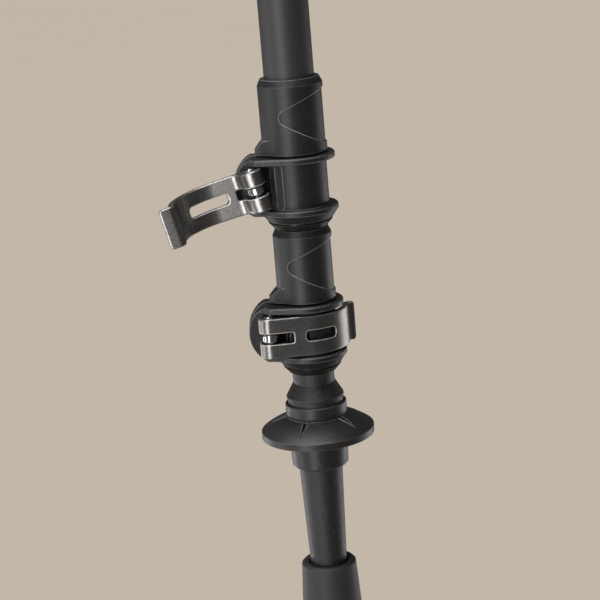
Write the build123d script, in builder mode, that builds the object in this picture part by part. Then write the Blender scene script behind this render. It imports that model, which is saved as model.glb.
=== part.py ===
from build123d import *

import os
from dataclasses import dataclass
from math import asin, atan2, cos, degrees, sin, sqrt

# A three-section telescoping trekking pole, pushed together. The upper tube carries the grip and
# the upper lever lock, the middle tube carries the second lock, and the lower tube carries the
# plastic tip with its basket and rubber foot. Each lock is a split clamp with two ears on its -X
# side: a tension bolt runs through the ears along Y, a cam lever pulls on its eye in front (-Y),
# and a knurled dial sets the tension behind. The upper lever stands open, the lower one is shut.
# Origin: middle of the rubber foot's sole. +Z runs up the pole. Millimetres.

os.makedirs("parts", exist_ok=True)

# --- Tubes -----------------------------------------------------------------------------------
upper_tube_r = 9.0
tube_step = 1.0  # each section's radius is this much less than that of the one above it
middle_tube_r = upper_tube_r - tube_step
lower_tube_r = middle_tube_r - tube_step
tube_wall = 0.8
upper_tube_length = 410.0
middle_tube_length = upper_tube_length + 30.0
lower_tube_length = middle_tube_length + 25.0
slide_clearance = 0.08  # radial, between a tube and the bush it slides in
glue_gap = 0.05  # radial, between glued or pressed pieces
parked_gap = 0.3  # between sections that are pushed together

# --- Tip (ferrule), basket and carbide point -------------------------------------------------
bare_shaft = 39.2  # shaft that shows between foot and basket
thread_r = lower_tube_r + 2.4
ferrule_band_r = thread_r + 0.9
basket_r = ferrule_band_r + 10.7
basket_rim = 3.3
basket_rise = 4.8  # the disc's cone, rim to upper collar
basket_collar_r = ferrule_band_r + 1.05
basket_collar_height = 5.2
basket_skirt_r = thread_r + 1.5
basket_skirt_taper = 0.4
basket_skirt_height = 11.2
basket_bulge = 0.35  # how far the disc's top stands above a straight cone
basket_slits = 5
slit_width = 1.5  # at the collar
slit_end_r = basket_r - 3.2
slit_lip = 0.25
slit_lip_width = 1.4  # both lips of one slit together
thread_clearance = 0.15
ferrule_cone_r = ferrule_band_r + 0.4
ferrule_band_height = 3.6
ferrule_cone_height = 5.9
ferrule_neck_r = lower_tube_r + 0.7
ferrule_neck_height = 4.1
shaft_top_r = thread_r - 0.9
shaft_end_r = shaft_top_r - 2.25
shaft_end_z = 24.0
point_holder_r = 4.0
point_r = 2.2
point_end_z = 10.6
point_seat_depth = 14.0

# --- Rubber foot -----------------------------------------------------------------------------
foot_height = 45.0
foot_mouth_r = shaft_top_r + 1.8
foot_waist_r = foot_mouth_r + 0.9
foot_waist_z = 28.0
foot_sole_r = foot_waist_r + 2.8
foot_floor = 8.0  # rubber under the steel disc
foot_lip = 2.2  # depth of the wider mouth
foot_mouth_gap = 0.45
tread_groove = 1.6
tread_pitch = 6.4
tread_depth = 1.8

# --- Locks -----------------------------------------------------------------------------------
band_height = 16.6  # clear height between a clamp's two flanges
flange_thickness = 2.3
flange_edge = 0.4
flange_reach = 5.15  # flange radius beyond the tube's
flange_corner = 0.5  # the flange's front corner stands this far right of the bolt axis
flange_shoulder = 3.5  # from that corner left to where the flange follows the ears
flange_lap = 0.8  # what a flange covers beyond the pin or the ears
collar_wall = 2.0
sleeve_wall = 2.7
sleeve_height = 26.6
sleeve_bevel = 2.3
sleeve_bevel_depth = 1.1
relief_slit = 0.8  # slit that frees the clamp from its sleeve
bridge_width = 11.0  # what is left of the wall behind that slit
hem_height = 2.6  # cone under the lower flange
hem_reach = 2.9
hem_gap = 0.7  # groove between the hem and the bush's cone
bush_cone_height = 2.3
bush_lip = 1.6  # wall of the bush at its lower rim
bush_shoulder = 1.2  # how far the groove stands inside the hem
bush_slit = 1.4
bush_slit_start = 2.0  # above the hem
tube_seat = 1.0  # a tube's lower end stands this far up its clamp's sleeve
ear_half_depth = 5.4  # the two ears reach this far in front and behind
ear_reach = 9.0  # the ears reach this far to the left of the bolt
ear_disc_r = 12.0  # round outline of ears and flanges, seen from the front
ear_disc_shift = 4.2  # its centre, to the right of the bolt
cheek_depth_share = 0.76  # flat cheeks in front and behind, as a share of the collar's radius
cheek_edge_share = 0.48  # where they meet the round collar
cheek_corner_r = 1.6
clear_of_all = 40.0  # half size of cutting blocks that must pass every outline
split_half_gap = 0.9
chevron_depth = 0.5
chevron_rise = 0.43  # slope of its upper arm
chevron_fall = 0.55
chevron_nose_r = 3.0
chevron_height_share = 0.52  # its nose, up the sleeve
chevron_margin = 1.0  # plain sleeve above it, below the bevel
chevron_foot = 2.6  # plain sleeve below it
fairing_toe = 1.9  # thickness of the sleeve's shoulder at the far left
fairing_height = 7.5  # where its slope meets the sleeve in front
fairing_waist = 4.8  # its height at the sleeve's left
fairing_inset = 0.6  # from its far left to the bolt axis
fairing_corner = 2.0

# --- Lever, tension bolt and dial ------------------------------------------------------------
lever_side_gap = 0.8  # above and below the lever, to the flanges
lever_thickness = 2.0
lever_edge = 0.4
lever_clearance = 0.3  # between the shut lever and the upper collar
cam_r = 4.1
cam_throw = 0.65  # cam centre behind the pin
cam_seat_gap = 2.3
pin_r = 1.5
pin_head_r = 1.9
pin_head = 0.45
pin_front = 10.2  # pin axis in front of the pole axis
fork_gap = 4.1
fork_corner_r = 0.9
window_height = 4.0
window_corner_r = 1.4
wrap_centre_x = -0.8
throat_share = 0.7  # fillet between the cam and the strip's back, as a share of the cam's radius
tab_corner_r = 1.5
lever_taper = 0.3  # lost from each side between the pin and the tab
tab_bend_r = 1.3
tab_edge_r = 0.6
tab_angle = 6.0  # the tab's direction, from +X, lever shut
lever_open_angle = 176.0
lever_droop = 13.2  # an open lever hangs down about the bolt by this much
eye_r = 2.9
eye_height = 3.7
bolt_r = 1.5
bolt_clearance = 0.08
dial_r = 5.2
dial_thickness = 4.2
dial_notches = 24
washer_thickness = 0.6
dial_seat_gap = 0.5  # from the dial's edge to the end of its seat
run_gap = 0.05  # between a turning piece and what it bears on

# --- Grip ------------------------------------------------------------------------------------
grip_length = 132.0
grip_ring_height = 9.0
head_height = 40.0
strap_width = 20.0
strap_thickness = 1.6
strap_pin_r = 1.6
strap_pin_x = 11.0
strap_pin_drop = 17.0  # below the head's top
strap_pin_length = 27.0
strap_reach = 64.0  # how far behind the pole the hanging loop stands
strap_drop = 190.0


@dataclass
class Lock:
    name: str
    tube_r: float  # the tube that it is glued on
    inner_r: float  # the tube that it clamps
    bolt_x: float  # bolt axis to the left of the pole axis
    z: float  # middle of the clamp band
    wrap_r: float  # lever's mid-thickness radius
    fork_depth: float
    window_length: float
    window_x: float  # middle of the lever's window
    wrap_end: float  # heading, from +X, at which the shut lever's wrap ends
    tab_length: float
    nose_share: float  # how far left the sleeve's chevron points, as a share of its radius
    swing: float  # lever's turn about its pin from shut
    droop: float  # tilt of bolt, pin and lever about the bolt axis

    @property
    def bore(self):
        return self.tube_r + glue_gap

    @property
    def collar_r(self):
        return self.tube_r + collar_wall

    @property
    def flange_r(self):
        return self.tube_r + flange_reach

    @property
    def sleeve_r(self):
        return self.tube_r + sleeve_wall

    @property
    def hem_r(self):
        return self.tube_r + hem_reach

    @property
    def band_low(self):
        return self.z - band_height / 2

    @property
    def band_high(self):
        return self.z + band_height / 2

    @property
    def hem_z(self):
        return self.band_low - flange_thickness - hem_height

    @property
    def bush_low(self):
        return self.hem_z - hem_gap - bush_cone_height

    @property
    def sleeve_low(self):
        return self.band_high + flange_thickness + relief_slit

    @property
    def sleeve_top(self):
        return self.sleeve_low + sleeve_height

    @property
    def seat_x(self):
        """Where the cam's seat on the front ear ends; the tilted cam turns clear of it."""
        return -self.bolt_x + cam_r + cam_throw + cam_seat_gap

    @property
    def rear_seat_x(self):
        return -self.bolt_x + dial_r + dial_seat_gap

    @property
    def cheek(self):
        """How far in front and behind the flat cheeks stand."""
        return cheek_depth_share * self.collar_r

    def bolt_plane(self):
        """Frame at the pin: X towards the shut lever, Y along the bolt, Z along the pin."""
        turn = Axis((-self.bolt_x, 0, self.z), (0, 1, 0))
        x_dir = Vector(1, 0, 0).rotate(turn, -self.droop)
        z_dir = Vector(0, 0, 1).rotate(turn, -self.droop)
        return Plane((-self.bolt_x, -pin_front, self.z), x_dir=x_dir, z_dir=z_dir)

    def lever_plane(self):
        """The same frame, turned about the pin as far as the lever is open."""
        frame = self.bolt_plane()
        x_dir = frame.x_dir.rotate(Axis(frame.origin, frame.z_dir), -self.swing)
        return Plane(frame.origin, x_dir=x_dir, z_dir=frame.z_dir)


lever_height = band_height - 2 * lever_side_gap

# --- Heights, stacked from the foot up -------------------------------------------------------
basket_low = foot_height + bare_shaft
disc_low = basket_low + basket_skirt_height
disc_edge = disc_low + basket_rim
collar_low = disc_edge + basket_rise
collar_top = collar_low + basket_collar_height
band_top = collar_top + 1.9
band_bottom = band_top - ferrule_band_height
cone_top = band_top + ferrule_cone_height
neck_top = cone_top + ferrule_neck_height
bush_to_middle = band_height / 2 + flange_thickness + hem_height + hem_gap + bush_cone_height
lower_lock_z = neck_top + parked_gap + bush_to_middle
sleeve_over_middle = band_height / 2 + flange_thickness + relief_slit + sleeve_height
upper_lock_z = lower_lock_z + sleeve_over_middle + parked_gap + bush_to_middle

lower_lock = Lock(
    name="lower",
    tube_r=middle_tube_r,
    inner_r=lower_tube_r,
    bolt_x=middle_tube_r + 6.4,
    z=lower_lock_z,
    wrap_r=middle_tube_r + 6.5,
    fork_depth=8.6,
    window_length=11.6,
    window_x=4.0,
    wrap_end=89.0,
    tab_length=2.2,
    nose_share=0.93,
    swing=0.0,
    droop=0.0,
)
upper_lock = Lock(
    name="upper",
    tube_r=upper_tube_r,
    inner_r=middle_tube_r,
    bolt_x=upper_tube_r + 6.0,
    z=upper_lock_z,
    wrap_r=upper_tube_r + 6.6,
    fork_depth=7.2,
    window_length=15.2,
    window_x=3.0,
    wrap_end=98.0,
    tab_length=3.7,
    nose_share=0.74,
    swing=lever_open_angle,
    droop=lever_droop,
)

upper_tube_low = upper_lock.sleeve_low + tube_seat
upper_tube_top = upper_tube_low + upper_tube_length
middle_tube_low = lower_lock.sleeve_low + tube_seat
middle_tube_top = middle_tube_low + middle_tube_length
lower_tube_low = disc_edge
lower_tube_top = lower_tube_low + lower_tube_length
head_low = upper_tube_top - 14.0
grip_low = head_low - grip_length
strap_pin_z = head_low + head_height - strap_pin_drop
strap_eye_r = strap_pin_r + 0.3 + strap_thickness


def write(name, shape):
    """Labels a finished piece and writes its STEP file."""
    shape.label = name
    export_step(shape, f"parts/{name}.step")


def ring(name, outer_r, inner_r, low, high, edge=0.25):
    """A plain turned ring or tube along the pole with broken end edges."""
    with BuildPart() as piece:
        with BuildSketch(Plane.XY.offset(low)):
            Circle(outer_r)
            Circle(inner_r, mode=Mode.SUBTRACT)
        extrude(amount=high - low)
        chamfer(piece.edges().filter_by(GeomType.CIRCLE), edge)
    write(name, piece.part)


# --- Clamp bodies ----------------------------------------------------------------------------
def flange_plate(lock, low, corner_depth):
    """One flange: a round plate that widens to the left, over the ears."""
    corner_x = lock.bolt_x - flange_corner
    shoulder_depth = ear_half_depth + (corner_depth - ear_half_depth) / 4
    plan = [
        (0, -lock.flange_r),
        (-corner_x, -corner_depth),
        (-corner_x - flange_shoulder, -shoulder_depth),
        (-corner_x - ear_reach, -ear_half_depth),
        (-corner_x - ear_reach, ear_half_depth),
        (-corner_x + flange_shoulder, ear_half_depth + flange_lap),
        (0, lock.flange_r),
    ]
    outline = ear_outline(lock)
    with BuildPart() as plate:
        with BuildSketch(Plane.XY.offset(low)):
            Circle(lock.flange_r)
            with BuildLine():
                Polyline(*plan, close=True)
            make_face()
        extrude(amount=flange_thickness)
        chamfer(plate.edges().group_by(Axis.Z)[0], flange_edge)
        chamfer(plate.edges().group_by(Axis.Z)[-1], flange_edge)
        add(outline, mode=Mode.INTERSECT)
    return plate.part


def ear_outline(lock):
    """The ears' round outline as seen from the front, open to the right."""
    disc_x = -lock.bolt_x + ear_disc_shift
    with BuildPart() as outline:
        with BuildSketch(Plane.XZ):
            with Locations((disc_x, lock.z)):
                Circle(ear_disc_r)
            with Locations((disc_x + clear_of_all, lock.z)):
                Rectangle(2 * clear_of_all, 2 * clear_of_all)
        extrude(amount=clear_of_all, both=True)
    return outline.part


def ear_block(lock):
    """The two ears and the flat cheeks that tie them to the collar, still in one piece."""
    ear_left = -lock.bolt_x - ear_reach
    outline = ear_outline(lock)
    with BuildPart() as block:
        with BuildSketch(Plane.XY.offset(lock.band_low)):
            with Locations(((ear_left + lock.seat_x) / 2, 0)):
                Rectangle(lock.seat_x - ear_left, 2 * ear_half_depth)
            with Locations((lock.seat_x / 2, -lock.cheek / 2)):
                Rectangle(-lock.seat_x, lock.cheek)
            with Locations((lock.rear_seat_x / 2, lock.cheek / 2)):
                Rectangle(-lock.rear_seat_x, lock.cheek)
        extrude(amount=band_height)
        add(outline, mode=Mode.INTERSECT)
    return block.part


def cheek_pocket(lock):
    """What is cut from the collar, in front and behind, to leave the flat cheeks."""
    edge_x = -lock.collar_r * cheek_edge_share
    with BuildPart() as pocket:
        with BuildSketch(Plane.XZ):
            with BuildLine():
                Polyline(
                    (-clear_of_all, lock.band_low),
                    (edge_x, lock.band_low),
                    (edge_x, lock.band_high),
                    (-clear_of_all, lock.band_high),
                    close=True,
                )
            make_face()
        extrude(amount=lock.flange_r, both=True)
        right = pocket.edges().filter_by(Axis.Y).group_by(Axis.X)[-1]
        fillet(right, cheek_corner_r)
        with BuildSketch(Plane.XY.offset(lock.band_low)):
            Rectangle(2 * clear_of_all, 2 * lock.cheek)
        extrude(amount=band_height, mode=Mode.SUBTRACT)
    return pocket.part


def chevron(lock):
    """A shallow V-shaped step in the sleeve, pointing left, to be cut away."""
    tip = (-lock.nose_share * lock.sleeve_r, lock.sleeve_low + chevron_height_share * sleeve_height)
    reach = 2 * lock.sleeve_r
    with BuildPart() as wedge:
        with BuildSketch(Plane.XZ):
            with BuildLine():
                Polyline(
                    tip,
                    (tip[0] + reach, tip[1] + chevron_rise * reach),
                    (tip[0] + reach, tip[1] - chevron_fall * reach),
                    close=True,
                )
            face = make_face()
            fillet(face.vertices().sort_by(Axis.X)[0], chevron_nose_r)
        extrude(amount=lock.flange_r, both=True)
        with BuildSketch(Plane.XY.offset(lock.sleeve_low + chevron_foot)):
            Rectangle(2 * clear_of_all, 2 * clear_of_all)
            Circle(lock.sleeve_r - chevron_depth, mode=Mode.SUBTRACT)
        extrude(
            amount=sleeve_height - chevron_foot - sleeve_bevel - chevron_margin,
            mode=Mode.INTERSECT,
        )
    return wedge.part


def fairing(lock):
    """The shoulder at the sleeve's lower left that carries its outline over to the flange."""
    toe_x = -lock.bolt_x + fairing_inset
    front_x = -lock.sleeve_r / 6
    with BuildPart() as shoulder:
        with BuildSketch(Plane.XY.offset(lock.sleeve_low)):
            with BuildLine():
                Polyline(
                    (front_x, -lock.sleeve_r + chevron_depth),
                    (toe_x + fairing_corner, -ear_half_depth),
                    (toe_x, -ear_half_depth + fairing_corner),
                    (toe_x, 0),
                    (toe_x + fairing_corner, fairing_corner),
                    (front_x, fairing_corner),
                    close=True,
                )
            outline = make_face()
            fillet(outline.vertices().sort_by(Axis.X)[:4], fairing_corner / 2)
        extrude(amount=fairing_height)
        with BuildSketch(Plane.XZ):
            with BuildLine():
                Polyline(
                    (front_x, lock.sleeve_low + fairing_height),
                    (-lock.sleeve_r, lock.sleeve_low + fairing_waist),
                    (toe_x, lock.sleeve_low + fairing_toe),
                    (-clear_of_all, lock.sleeve_low + fairing_toe),
                    (-clear_of_all, lock.sleeve_top),
                    (front_x, lock.sleeve_top),
                    close=True,
                )
            make_face()
        extrude(amount=clear_of_all, both=True, mode=Mode.SUBTRACT)
    return shoulder.part


def clamp_body(lock):
    """Sleeve, relief slit, split clamp band, flanges and ears: one moulding."""
    ears = ear_block(lock)
    pocket = cheek_pocket(lock)
    # Only the upper flange reaches forward over the lever's fork.
    lower_flange = flange_plate(
        lock, lock.band_low - flange_thickness, ear_half_depth + flange_lap
    )
    upper_flange = flange_plate(lock, lock.band_high, pin_front + flange_lap)
    shoulder = fairing(lock)
    step = chevron(lock)
    with BuildPart() as body:
        with BuildSketch(Plane.XZ):
            with BuildLine():
                Polyline(
                    (lock.bore, lock.hem_z),
                    (lock.hem_r, lock.hem_z),
                    (lock.flange_r - flange_edge, lock.band_low - flange_thickness),
                    (lock.flange_r - flange_edge, lock.band_low),
                    (lock.collar_r, lock.band_low),
                    (lock.collar_r, lock.band_high + flange_thickness),
                    (lock.bore, lock.band_high + flange_thickness),
                    close=True,
                )
            make_face()
        revolve(axis=Axis.Z)
        add(ears)
        add(pocket, mode=Mode.SUBTRACT)
        add(lower_flange)
        add(upper_flange)
        with BuildSketch(Plane.XZ):
            with BuildLine():
                Polyline(
                    (lock.bore, lock.sleeve_low),
                    (lock.sleeve_r, lock.sleeve_low),
                    (lock.sleeve_r, lock.sleeve_top - sleeve_bevel),
                    (lock.sleeve_r - sleeve_bevel_depth, lock.sleeve_top),
                    (lock.bore, lock.sleeve_top),
                    close=True,
                )
            make_face()
        revolve(axis=Axis.Z)
        add(shoulder)
        add(step, mode=Mode.SUBTRACT)
        # The bridge at the back is all that joins the clamp band to the sleeve.
        with BuildSketch(Plane.XY.offset(lock.band_high + flange_thickness)):
            with Locations((0, (lock.bore + lock.collar_r) / 2)):
                Rectangle(bridge_width, lock.collar_r - lock.bore)
        extrude(amount=relief_slit)
        with BuildSketch(Plane.XY.offset(lock.hem_z)):
            Circle(lock.bore)
        extrude(amount=lock.sleeve_top - lock.hem_z, mode=Mode.SUBTRACT)
        with BuildSketch(Plane.XY.offset(lock.hem_z)):
            with Locations((-clear_of_all / 2, 0)):
                Rectangle(clear_of_all, 2 * split_half_gap)
        extrude(amount=lock.sleeve_low - lock.hem_z, mode=Mode.SUBTRACT)
        with BuildSketch(Plane.XZ):
            with Locations((-lock.bolt_x, lock.z)):
                Circle(bolt_r + bolt_clearance)
        extrude(amount=clear_of_all, both=True, mode=Mode.SUBTRACT)
    return body.part


def clamp_bush(lock):
    """The slotted plastic bush between the clamp and the inner tube, with its cone below."""
    slide_r = lock.inner_r + slide_clearance
    with BuildPart() as bush:
        with BuildSketch(Plane.XZ):
            with BuildLine():
                Polyline(
                    (slide_r, lock.bush_low),
                    (slide_r + bush_lip, lock.bush_low),
                    (lock.hem_r - 0.2, lock.bush_low + bush_cone_height),
                    (lock.hem_r - bush_shoulder, lock.bush_low + bush_cone_height),
                    (lock.hem_r - bush_shoulder, lock.hem_z),
                    (lock.tube_r, lock.hem_z),
                    (lock.tube_r, lock.sleeve_low + tube_seat - parked_gap),
                    (slide_r, lock.sleeve_low + tube_seat - parked_gap),
                    close=True,
                )
            make_face()
        revolve(axis=Axis.Z)
        with BuildSketch(Plane.XY.offset(lock.hem_z + bush_slit_start)):
            with Locations((-clear_of_all / 2, 0)):
                Rectangle(clear_of_all, bush_slit)
        extrude(amount=clear_of_all, mode=Mode.SUBTRACT)
    return bush.part


# --- Levers and their hardware ---------------------------------------------------------------
def lever_envelope(face_on, reach):
    """What the lever stays within, face on: it tapers to the tab, whose corners are round."""
    at_tab = lever_height / 2 - lever_taper
    behind = lever_height / 2 + lever_taper * 2 * cam_r / reach
    with BuildPart() as envelope:
        with BuildSketch(face_on):
            with BuildLine():
                Polyline(
                    (-2 * cam_r, -behind),
                    (reach, -at_tab),
                    (reach, at_tab),
                    (-2 * cam_r, behind),
                    close=True,
                )
            outline = make_face()
            fillet(outline.vertices().sort_by(Axis.X)[-2:], tab_corner_r)
        extrude(amount=clear_of_all, both=True)
    return envelope.part


def lever(lock):
    """A forked cam lever that wraps round the clamp and ends in a finger tab."""
    frame = lock.lever_plane()
    face_on = Plane(frame.origin, x_dir=frame.x_dir, z_dir=-frame.y_dir)
    half = lever_thickness / 2
    cam_centre = Vector(0, cam_throw)
    centre = Vector(
        lock.bolt_x + wrap_centre_x,
        pin_front - lock.collar_r - lever_clearance + lock.wrap_r - half,
    )
    # The shank touches the front of the cam and the front of the wrap.
    away = centre - cam_centre
    shank_r = cam_r - half
    grows = lock.wrap_r - shank_r
    heading = degrees(atan2(away.Y, away.X) - asin(grows / away.length))
    start = cam_centre + Vector(0, -shank_r).rotate(Axis.Z, heading)
    with BuildPart() as piece:
        with BuildSketch(frame.offset(-lever_height / 2)) as profile:
            with BuildLine():
                shank = PolarLine(start, sqrt(away.length**2 - grows**2), heading)
                wrap = JernArc(shank @ 1, shank % 1, lock.wrap_r, lock.wrap_end - heading)
                bend = JernArc(wrap @ 1, wrap % 1, tab_bend_r, tab_angle - lock.wrap_end)
                tab = Line(bend @ 1, (bend @ 1) + (bend % 1) * lock.tab_length)
            trace(line_width=lever_thickness)
            with Locations((0, cam_throw)):
                Circle(cam_r)
            into_cam = cam_r - lever_thickness
            corner = (sqrt(cam_r**2 - into_cam**2), cam_throw - into_cam)
            throat = profile.vertices().sort_by_distance(corner)[0]
            fillet(throat, throat_share * cam_r)
            fillet(profile.vertices().sort_by_distance((0, 0))[-2:], tab_edge_r)
        extrude(amount=lever_height)
        add(lever_envelope(face_on, (tab @ 1).X + 0.1), mode=Mode.INTERSECT)
        ends = piece.faces().sort_by(Axis(frame.origin, frame.z_dir))
        fillet(ends[0].edges() + ends[-1].edges(), lever_edge)
        with BuildSketch(face_on):
            with Locations((lock.fork_depth / 2 - cam_r, 0)):
                RectangleRounded(lock.fork_depth + 2 * cam_r, fork_gap, fork_corner_r)
        extrude(amount=2 * cam_r, both=True, mode=Mode.SUBTRACT)
        turn = asin((lock.window_x - wrap_centre_x) / lock.wrap_r)
        out = frame.x_dir * sin(turn) - frame.y_dir * cos(turn)
        middle = frame.from_local_coords((centre.X, centre.Y, 0))
        with BuildSketch(Plane(middle, x_dir=frame.z_dir.cross(out), z_dir=out)):
            RectangleRounded(lock.window_length, window_height, window_corner_r)
        extrude(amount=lock.wrap_r + 4, mode=Mode.SUBTRACT)
        with BuildSketch(frame.offset(-lever_height / 2)):
            Circle(pin_r + run_gap)
        extrude(amount=lever_height, mode=Mode.SUBTRACT)
    return piece.part


def eye_bolt(lock):
    """A bolt with an eye that holds the lever's pin in the fork."""
    frame = lock.bolt_plane()
    behind = ear_half_depth + washer_thickness + dial_thickness - 1.4
    with BuildPart() as bolt:
        with BuildSketch(frame.offset(-eye_height / 2)):
            Circle(eye_r)
        extrude(amount=eye_height)
        fillet(bolt.edges().filter_by(GeomType.CIRCLE), 1.1)
        with BuildSketch(Plane(frame.origin, x_dir=frame.x_dir, z_dir=frame.y_dir)):
            Circle(bolt_r)
        extrude(amount=pin_front + behind)
        chamfer(bolt.faces().sort_by(Axis.Y)[-1].edges(), 0.4)
        with BuildSketch(frame.offset(-eye_height)):
            Circle(pin_r + run_gap)
        extrude(amount=2 * eye_height, mode=Mode.SUBTRACT)
    return bolt.part


def lever_pin(lock):
    """The lever's pin, riveted over at both ends, with a dimple in each head."""
    frame = lock.bolt_plane()
    shank = lever_height / 2 + run_gap
    with BuildPart() as pin:
        with BuildSketch(frame.offset(-shank)):
            Circle(pin_r)
        extrude(amount=2 * shank)
        for outward in (frame, Plane(frame.origin, x_dir=frame.x_dir, z_dir=-frame.z_dir)):
            with BuildSketch(outward.offset(shank)):
                Circle(pin_head_r)
            extrude(amount=pin_head, taper=25)
            with BuildSketch(outward.offset(shank + pin_head)):
                Circle(pin_head_r * 0.35)
            extrude(amount=-pin_head * 0.6, taper=20, mode=Mode.SUBTRACT)
    return pin.part


def tension_dial(lock):
    """Knurled thumb nut behind the rear ear, with a coin slot."""
    low = ear_half_depth + washer_thickness + run_gap
    face = Plane((-lock.bolt_x, low, lock.z), x_dir=(1, 0, 0), z_dir=(0, 1, 0))
    with BuildPart() as dial:
        with BuildSketch(face):
            Circle(dial_r)
            with PolarLocations(dial_r, dial_notches):
                Circle(0.42, mode=Mode.SUBTRACT)
        extrude(amount=dial_thickness)
        with BuildSketch(face):
            Circle(bolt_r + run_gap)
        extrude(amount=dial_thickness - 0.9, mode=Mode.SUBTRACT)
        with BuildSketch(face.offset(dial_thickness)):
            Rectangle(dial_r * 1.3, 1.2)
        extrude(amount=-0.7, mode=Mode.SUBTRACT)
    return dial.part


def dial_washer(lock):
    face = Plane((-lock.bolt_x, ear_half_depth, lock.z), x_dir=(1, 0, 0), z_dir=(0, 1, 0))
    with BuildPart() as washer:
        with BuildSketch(face):
            Circle(dial_r - 0.4)
            Circle(bolt_r + bolt_clearance, mode=Mode.SUBTRACT)
        extrude(amount=washer_thickness)
    return washer.part


for lock in (upper_lock, lower_lock):
    write(f"{lock.name}_clamp_body", clamp_body(lock))
    write(f"{lock.name}_clamp_bush", clamp_bush(lock))
    write(f"{lock.name}_lever", lever(lock))
    write(f"{lock.name}_eye_bolt", eye_bolt(lock))
    write(f"{lock.name}_lever_pin", lever_pin(lock))
    write(f"{lock.name}_tension_dial", tension_dial(lock))
    write(f"{lock.name}_dial_washer", dial_washer(lock))

# --- Tubes and their end bushes --------------------------------------------------------------
ring("upper_tube", upper_tube_r, upper_tube_r - tube_wall, upper_tube_low, upper_tube_top)
ring("middle_tube", middle_tube_r, middle_tube_r - tube_wall, middle_tube_low, middle_tube_top)
ring("lower_tube", lower_tube_r, lower_tube_r - tube_wall, lower_tube_low, lower_tube_top)


def end_bush(tube_r, tube_top, guide_r):
    """A nylon plug in a tube's top end, whose head guides it inside the next tube."""
    socket_r = tube_r - tube_wall - glue_gap
    with BuildPart() as plug:
        with BuildSketch(Plane.XZ):
            with BuildLine():
                Polyline(
                    (socket_r - 1.6, tube_top - 12),
                    (socket_r, tube_top - 12),
                    (socket_r, tube_top),
                    (guide_r, tube_top),
                    (guide_r, tube_top + 7),
                    (guide_r - 1.0, tube_top + 8),
                    (socket_r - 1.6, tube_top + 8),
                    close=True,
                )
            make_face()
        revolve(axis=Axis.Z)
    return plug.part


upper_bore_r = upper_tube_r - tube_wall
middle_bore_r = middle_tube_r - tube_wall
write(
    "middle_end_bush", end_bush(middle_tube_r, middle_tube_top, upper_bore_r - slide_clearance)
)
write("lower_end_bush", end_bush(lower_tube_r, lower_tube_top, middle_bore_r - slide_clearance))

# --- Tip: ferrule, point holder and carbide point --------------------------------------------
with BuildPart() as ferrule:
    with BuildSketch(Plane.XZ):
        with BuildLine():
            Polyline(
                (0, shaft_end_z),
                (shaft_end_r - 0.8, shaft_end_z),
                (shaft_end_r, shaft_end_z + 0.8),
                (shaft_top_r, disc_low),
                (thread_r, disc_low + 1.2),
                (thread_r, band_bottom),
                (ferrule_band_r, band_bottom),
                (ferrule_band_r, band_top - 0.1),
                (ferrule_cone_r, band_top + 0.3),
                (ferrule_cone_r - 0.1, band_top + 0.9),
                (ferrule_neck_r, cone_top),
                (ferrule_neck_r, neck_top),
                (0, neck_top),
                close=True,
            )
        make_face()
    revolve(axis=Axis.Z)
    with BuildSketch(Plane.XY.offset(lower_tube_low)):
        Circle(lower_tube_r + glue_gap)
    extrude(amount=100, mode=Mode.SUBTRACT)
    with BuildSketch(Plane.XY.offset(shaft_end_z)):
        Circle(point_r + glue_gap)
    extrude(amount=point_seat_depth, mode=Mode.SUBTRACT)
write("ferrule", ferrule.part)

with BuildPart() as point_holder:
    with BuildSketch(Plane.XZ):
        with BuildLine():
            Polyline(
                (0, shaft_end_z - 8),
                (point_holder_r - 1.2, shaft_end_z - 8),
                (point_holder_r, shaft_end_z - 5),
                (point_holder_r, shaft_end_z),
                (point_r, shaft_end_z),
                (point_r, shaft_end_z + point_seat_depth - 0.5),
                (0, shaft_end_z + point_seat_depth - 0.5),
                close=True,
            )
        make_face()
    revolve(axis=Axis.Z)
    with BuildSketch(Plane.XY.offset(shaft_end_z - 8)):
        Circle(1.6 + glue_gap)
    extrude(amount=6, mode=Mode.SUBTRACT)
write("point_holder", point_holder.part)

with BuildPart() as carbide_point:
    with BuildSketch(Plane.XZ):
        with BuildLine():
            Polyline(
                (0, point_end_z + 0.9),
                (1.2, point_end_z),
                (1.6, point_end_z + 1.2),
                (1.6, shaft_end_z - 2.2),
                (0, shaft_end_z - 2.2),
                close=True,
            )
        make_face()
    revolve(axis=Axis.Z)
write("carbide_point", carbide_point.part)

# --- Basket ----------------------------------------------------------------------------------
disc_top_start = (basket_r - 0.5, disc_edge + 0.1)
disc_top_end = (basket_collar_r - 0.3, collar_low)
disc_top_middle = (
    (disc_top_start[0] + disc_top_end[0]) / 2 + basket_bulge / 2,
    (disc_top_start[1] + disc_top_end[1]) / 2 + basket_bulge,
)


def slit_wedges(width):
    """Five wedges through the disc that narrow outwards, one to each slit."""
    with BuildPart() as wedges:
        with BuildSketch(Plane.XY.offset(disc_low - 1)):
            with PolarLocations(0, basket_slits, start_angle=-112):
                Polygon(
                    (basket_collar_r - 0.1, -width / 2),
                    (slit_end_r, -0.12),
                    (slit_end_r, 0.12),
                    (basket_collar_r - 0.1, width / 2),
                    align=None,
                )
        extrude(amount=basket_rim + basket_rise + 2.5)
    return wedges.part


lip_wedges = slit_wedges(slit_width + slit_lip_width)
with BuildPart() as slit_lips:
    with BuildSketch(Plane.XZ):
        with BuildLine():
            lip_top = ThreePointArc(
                disc_top_start,
                (disc_top_middle[0], disc_top_middle[1] + slit_lip * 0.7),
                (disc_top_end[0], disc_top_end[1] + slit_lip),
            )
            Polyline(
                lip_top @ 1,
                (disc_top_end[0], disc_edge),
                (disc_top_start[0], disc_edge),
                lip_top @ 0,
            )
        make_face()
    revolve(axis=Axis.Z)
    add(lip_wedges, mode=Mode.INTERSECT)

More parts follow.
